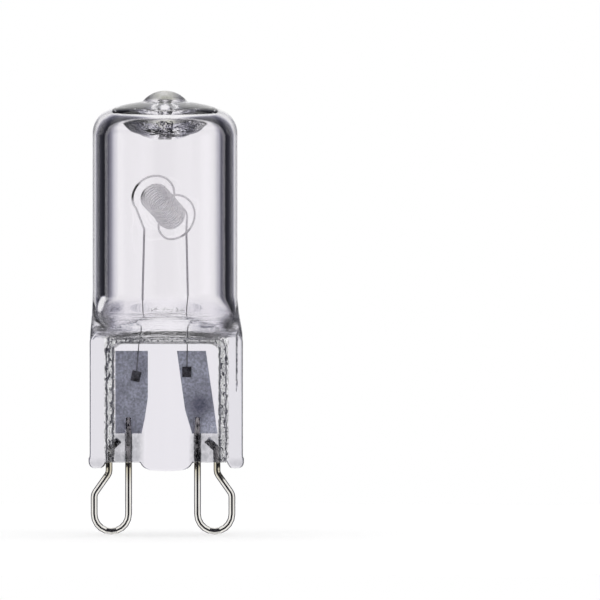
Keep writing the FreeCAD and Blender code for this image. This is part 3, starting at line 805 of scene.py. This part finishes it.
def glass_material():
    """Clear glass with tints, clouded places, painted shade on the rail feet, painted light and shade on the
    strips, and bumps, each where glass_places puts it.
    """
    material, tree, shader = new_material("clear_glass")
    shader.inputs["Transmission Weight"].default_value = 1.0
    shader.inputs["IOR"].default_value = GLASS_IOR
    places = glass_places(tree)
    streaks = noise(tree, GLASS_STREAKS)
    patches = noise(tree, CLOUD_PATCHES, 5.0, 0.7)
    grain = noise(tree, STRIP_GRAIN, 3.0, 0.6)
    # Clouded patches, and painted shade on the rail feet
    cloud_and_foot_shade = product(tree, places["cloudy_and_foot_shade"], grey_ramp(tree, patches, CLOUD_SHARES))
    tree.links.new(glass_colour(tree, places, streaks, cloud_and_foot_shade, grain), shader.inputs["Base Color"])
    rough = calculate(tree, "MAXIMUM", product(tree, cloud_and_foot_shade, CLOUD_ROUGHNESS),
                      product(tree, places["tip"], TIP_ROUGHNESS))
    tree.links.new(rough, shader.inputs["Roughness"])
    tree.links.new(glass_normal(tree, places, streaks, patches, grain), shader.inputs["Normal"])
    return material


def metal_material(name, colours, grain, roughness, metallic):
    """Metal mottled between two colours, in a grain along x, y and z."""
    material, tree, shader = new_material(name)
    shader.inputs["Metallic"].default_value = metallic
    mottle = noise(tree, grain, 4.0, 0.65)
    tree.links.new(two_tone(tree, mottle, *colours, MOTTLE_SOFTNESS), shader.inputs["Base Color"])
    rough = grey_ramp(tree, mottle, [(place, roughness * share) for place, share in MOTTLE_ROUGHNESS])
    tree.links.new(rough, shader.inputs["Roughness"])
    tree.links.new(bump(tree, mottle, MOTTLE_STRENGTH, MOTTLE_DEPTH * MM), shader.inputs["Normal"])
    return material, tree, shader


def distance_to(tree, place):
    """The distance from a place, seen from the front, as an (x, z) pair in millimetres."""
    x, _, z = position(tree)[:3]
    off_x = calculate(tree, "SUBTRACT", x, place[0] * MM)
    off_z = calculate(tree, "SUBTRACT", z, place[1] * MM)
    return length(tree, off_x, off_z)


def tinted(tree, share, colour, tint):
    """The colour, multiplied by a tint as far as the share says."""
    return mix_colour(tree, share, colour, mix_colour(tree, 1.0, colour, tint, "MULTIPLY"))


def foil_material():
    """Speckled and clouded slate grey, with a darker patch and a pale corner on the right foil."""
    material, tree, shader = metal_material("sealing_foil", FOIL_COLOURS, FOIL_GRAIN, 0.5, metallic=0.2)
    colour = shader.inputs["Base Color"].links[0].from_socket
    clouds = noise(tree, FOIL_CLOUDS, 2.0, 0.5)
    colour = mix_colour(tree, 1.0, colour, ramp(tree, clouds, FOIL_CLOUDING), "MULTIPLY")
    for place, reach, tint in FOIL_PATCHES:
        colour = tinted(tree, fade(tree, distance_to(tree, place), reach, PATCH_CORE * reach), colour, tint)
    tree.links.new(colour, shader.inputs["Base Color"])
    return material


def nickel_material():
    """Bright drawn wire, darkened near the glass, and dull and mottled where it is sealed into it."""
    material, tree, shader = metal_material("nickel_wire", NICKEL_COLOURS, NICKEL_GRAIN, 0.12, metallic=1.0)
    z = position(tree)[2]
    colour = shader.inputs["Base Color"].links[0].from_socket
    aged = product(tree, fade(tree, z, *AGED_FROM_Z), fade(tree, z, *AGED_TO_Z), AGED_SHARE)
    tree.links.new(mix_colour(tree, aged, colour, AGED_TINT), shader.inputs["Base Color"])
    spots = noise(tree, SEALED_SPOTS, 3.0, 0.6)
    dull = product(tree, fade(tree, z, *SEALED_FROM_Z), grey_ramp(tree, spots, SEALED_SHARES))
    metallic = calculate(tree, "SUBTRACT", 1.0, product(tree, dull, DULLNESS))
    tree.links.new(metallic, shader.inputs["Metallic"])
    return material


def tungsten_material():
    """Light grey in the coil, with painted shade that darkens the leg wires and blackens the left of the near
    wide turn.
    """
    material, tree, shader = metal_material("tungsten", TUNGSTEN_COLOURS, WIRE_GRAIN, 0.5, metallic=0.05)
    colour = shader.inputs["Base Color"].links[0].from_socket
    x, _, z = position(tree)[:3]
    # Painted shade: the leg wires darker than the coil
    shaded_legs = product(tree, fade(tree, z, *LEGS_TO_Z), fade(tree, calculate(tree, "ABSOLUTE", x), *LEGS_FROM_X))
    colour = tinted(tree, shaded_legs, colour, LEG_PAINTED_SHADE)
    # Painted shade: black on the left of the near wide turn
    black = fade(tree, distance_to(tree, NEAR_TURN_PLACE), NEAR_TURN_REACH, NEAR_TURN_CORE * NEAR_TURN_REACH)
    tree.links.new(mix_colour(tree, black, colour, NEAR_TURN_SHADE), shader.inputs["Base Color"])
    return material


def lead_material():
    """Dark grey core wire."""
    return metal_material("lead_wire", LEAD_COLOURS, LEAD_GRAIN, roughness=0.5, metallic=0.4)[0]


def weld_material():
    """Nearly black, with grey specks."""
    return metal_material("weld_patch", WELD_COLOURS, WELD_GRAIN, roughness=0.4, metallic=0.2)[0]


def finish_node(name, material):
    """Gives a CAD node its material and smooth shading."""
    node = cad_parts[name]
    node.data.materials.clear()
    node.data.materials.append(material)
    for face in node.data.polygons:
        face.use_smooth = True


clear_glass = glass_material()
sealing_foil = foil_material()
nickel_wire = nickel_material()
tungsten = tungsten_material()
lead_wire = lead_material()
weld_patch = weld_material()

pieces = {
    "envelope_outside": ring_mesh("envelope_outside", outside_rings(pinch_angles())),
    "envelope_chamber": ring_mesh("envelope_chamber", chamber_rings(ray_angles(CHAMBER_RAYS)), inward=True),
}
for side, side_name in ((-1, "left"), (1, "right")):
    for kind, path in channel_paths(side).items():
        name = f"channel_{kind}_{side_name}"
        path = [(x, 0.0, z) for x, z in path]
        rings = tube_rings(path, [LOOP_WIRE_R + WIRE_GAP] * len(path), CHANNEL_SIDES)
        pieces[name] = ring_mesh(name, rings, inward=True)
for piece in pieces.values():
    piece.data.materials.append(clear_glass)
    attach(piece, "root")
    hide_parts("glass_envelope")

fine_strand = ring_mesh("filament_strand", tube_rings(*strand(), STRAND_SIDES))
fine_strand.data.materials.append(tungsten)
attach(fine_strand, "root")
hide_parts("filament")

for side in ("left", "right"):
    finish_node(f"foil_{side}", sealing_foil)
    finish_node(f"contact_loop_{side}", nickel_wire)
    finish_node(f"weld_tab_{side}", weld_patch)
    finish_node(f"inner_lead_{side}", lead_wire)


# Floor, light and the surroundings that glass and metal show


def panel_angle(tree, panels):
    """The angle in radians from a ray to the nearest panel.

    Heights count at the panel's shares, and sideways angles count less towards the poles.
    """
    where = tree.nodes.new("ShaderNodeTexCoord").outputs["Generated"]
    parts = tree.nodes.new("ShaderNodeSeparateXYZ")
    tree.links.new(where, parts.inputs[0])
    height = calculate(tree, "ARCSINE", parts.outputs[2])

    def along(x, y):
        made = tree.nodes.new("ShaderNodeVectorMath")
        made.operation = "DOT_PRODUCT"
        tree.links.new(where, made.inputs[0])
        made.inputs[1].default_value = (x, y, 0.0)
        return made.outputs["Value"]

    nearest = math.pi
    for azimuth, elevation, share_up, share_down in panels:
        x, y = math.sin(math.radians(azimuth)), math.cos(math.radians(azimuth))
        sideways = calculate(tree, "ARCTAN2", along(y, -x), along(x, y))
        sideways = product(tree, sideways, calculate(tree, "COSINE", height))
        upwards = calculate(tree, "SUBTRACT", height, math.radians(elevation))
        upwards = calculate(tree, "MAXIMUM", product(tree, upwards, share_up),
                            product(tree, upwards, -share_down))
        nearest = calculate(tree, "MINIMUM", length(tree, sideways, upwards), nearest)
    return nearest


def strength_ramp(tree, angle, stops):
    """Greys given by angles in degrees, with more blue in the dark ones."""
    share = calculate(tree, "DIVIDE", angle, math.pi)
    blues = [min(1.0, grey * mix(SHADE_BLUE, 1.0, math.sqrt(grey))) for _, grey in stops]
    colours = [(grey, grey, blue) for (_, grey), blue in zip(stops, blues)]
    return ramp(tree, share, [(degrees / 180, colour) for (degrees, _), colour in zip(stops, colours)])


def world_light():
    """Plain white for the camera and diffuse light, the panels through glass, and the studio in mirrors."""
    world = bpy.data.worlds.new("studio")
    bpy.context.scene.world = world
    world.use_nodes = True
    tree = world.node_tree
    tree.nodes.clear()
    output = tree.nodes.new("ShaderNodeOutputWorld")
    straight = strength_ramp(tree, panel_angle(tree, (PANEL_BEHIND,)), PANEL_STRENGTHS)
    aside = strength_ramp(tree, panel_angle(tree, PANELS_ASIDE), ASIDE_STRENGTHS)
    behind = mix_colour(tree, 1.0, straight, aside, "LIGHTEN")
    around = strength_ramp(tree, panel_angle(tree, (STUDIO_GAP,)), STUDIO_STRENGTHS)
    studio = mix_colour(tree, 1.0, around, straight, "LIGHTEN")
    paths = tree.nodes.new("ShaderNodeLightPath").outputs
    through = calculate(tree, "GREATER_THAN", paths["Transmission Depth"], 0.5)
    seen = mix_colour(tree, through, studio, behind)
    direct = calculate(tree, "LESS_THAN", paths["Diffuse Depth"], 0.5)
    mirrored = calculate(tree, "MAXIMUM", paths["Is Glossy Ray"], paths["Is Transmission Ray"])
    colour = mix_colour(tree, product(tree, mirrored, direct), WHITE, seen)
    light = tree.nodes.new("ShaderNodeBackground")
    tree.links.new(colour, light.inputs["Color"])
    tree.links.new(light.outputs[0], output.inputs["Surface"])


def floor():
    """A pale floor under the loops, which glass and metal don't show."""
    mesh = bpy.data.meshes.new("floor")
    work = bmesh.new()
    bmesh.ops.create_circle(work, cap_ends=True, radius=FLOOR_RADIUS, segments=FLOOR_SIDES)
    work.to_mesh(mesh)
    work.free()
    made = bpy.data.objects.new("floor", mesh)
    made.location = (0, 0, cad_box[0][2])
    bpy.context.collection.objects.link(made)
    material, tree, shader = new_material("floor")
    shader.inputs["Base Color"].default_value = (*FLOOR_COLOUR, 1)
    shader.inputs["Roughness"].default_value = FLOOR_ROUGHNESS
    shader.inputs["Emission Color"].default_value = (*WHITE, 1)
    paths = tree.nodes.new("ShaderNodeLightPath").outputs
    lift = product(tree, paths["Is Camera Ray"], FLOOR_LIFT)
    tree.links.new(lift, shader.inputs["Emission Strength"])
    unseen = tree.nodes.new("ShaderNodeBsdfTransparent")
    choice = tree.nodes.new("ShaderNodeMixShader")
    mirrored = calculate(tree, "MAXIMUM", paths["Is Glossy Ray"], paths["Is Transmission Ray"])
    tree.links.new(mirrored, choice.inputs[0])
    tree.links.new(shader.outputs[0], choice.inputs[1])
    tree.links.new(unseen.outputs[0], choice.inputs[2])
    output = next(node for node in tree.nodes if node.bl_idname == "ShaderNodeOutputMaterial")
    tree.links.new(choice.outputs[0], output.inputs["Surface"])
    mesh.materials.append(material)


def camera():
    """Straight from the front, so that the object lies where the photograph has it."""
    data = bpy.data.cameras.new("camera")
    made = bpy.data.objects.new("camera", data)
    bpy.context.collection.objects.link(made)
    width = FRAME_PIXELS / PIXELS_PER_MM * MM
    data.sensor_width = SENSOR_MM
    data.lens = SENSOR_MM * CAMERA_DISTANCE / width
    x = (FRAME_PIXELS / 2 - ORIGIN_PIXEL_X) / PIXELS_PER_MM * MM
    z = (ORIGIN_PIXEL_Y - FRAME_PIXELS / 2) / PIXELS_PER_MM * MM
    made.location = (x, -CAMERA_DISTANCE, z)
    made.rotation_euler = (math.pi / 2, 0, 0)
    data.clip_start, data.clip_end = CAMERA_CLIP
    bpy.context.scene.camera = made


world_light()
floor()
camera()
bpy.context.scene.view_settings.view_transform = "Standard"
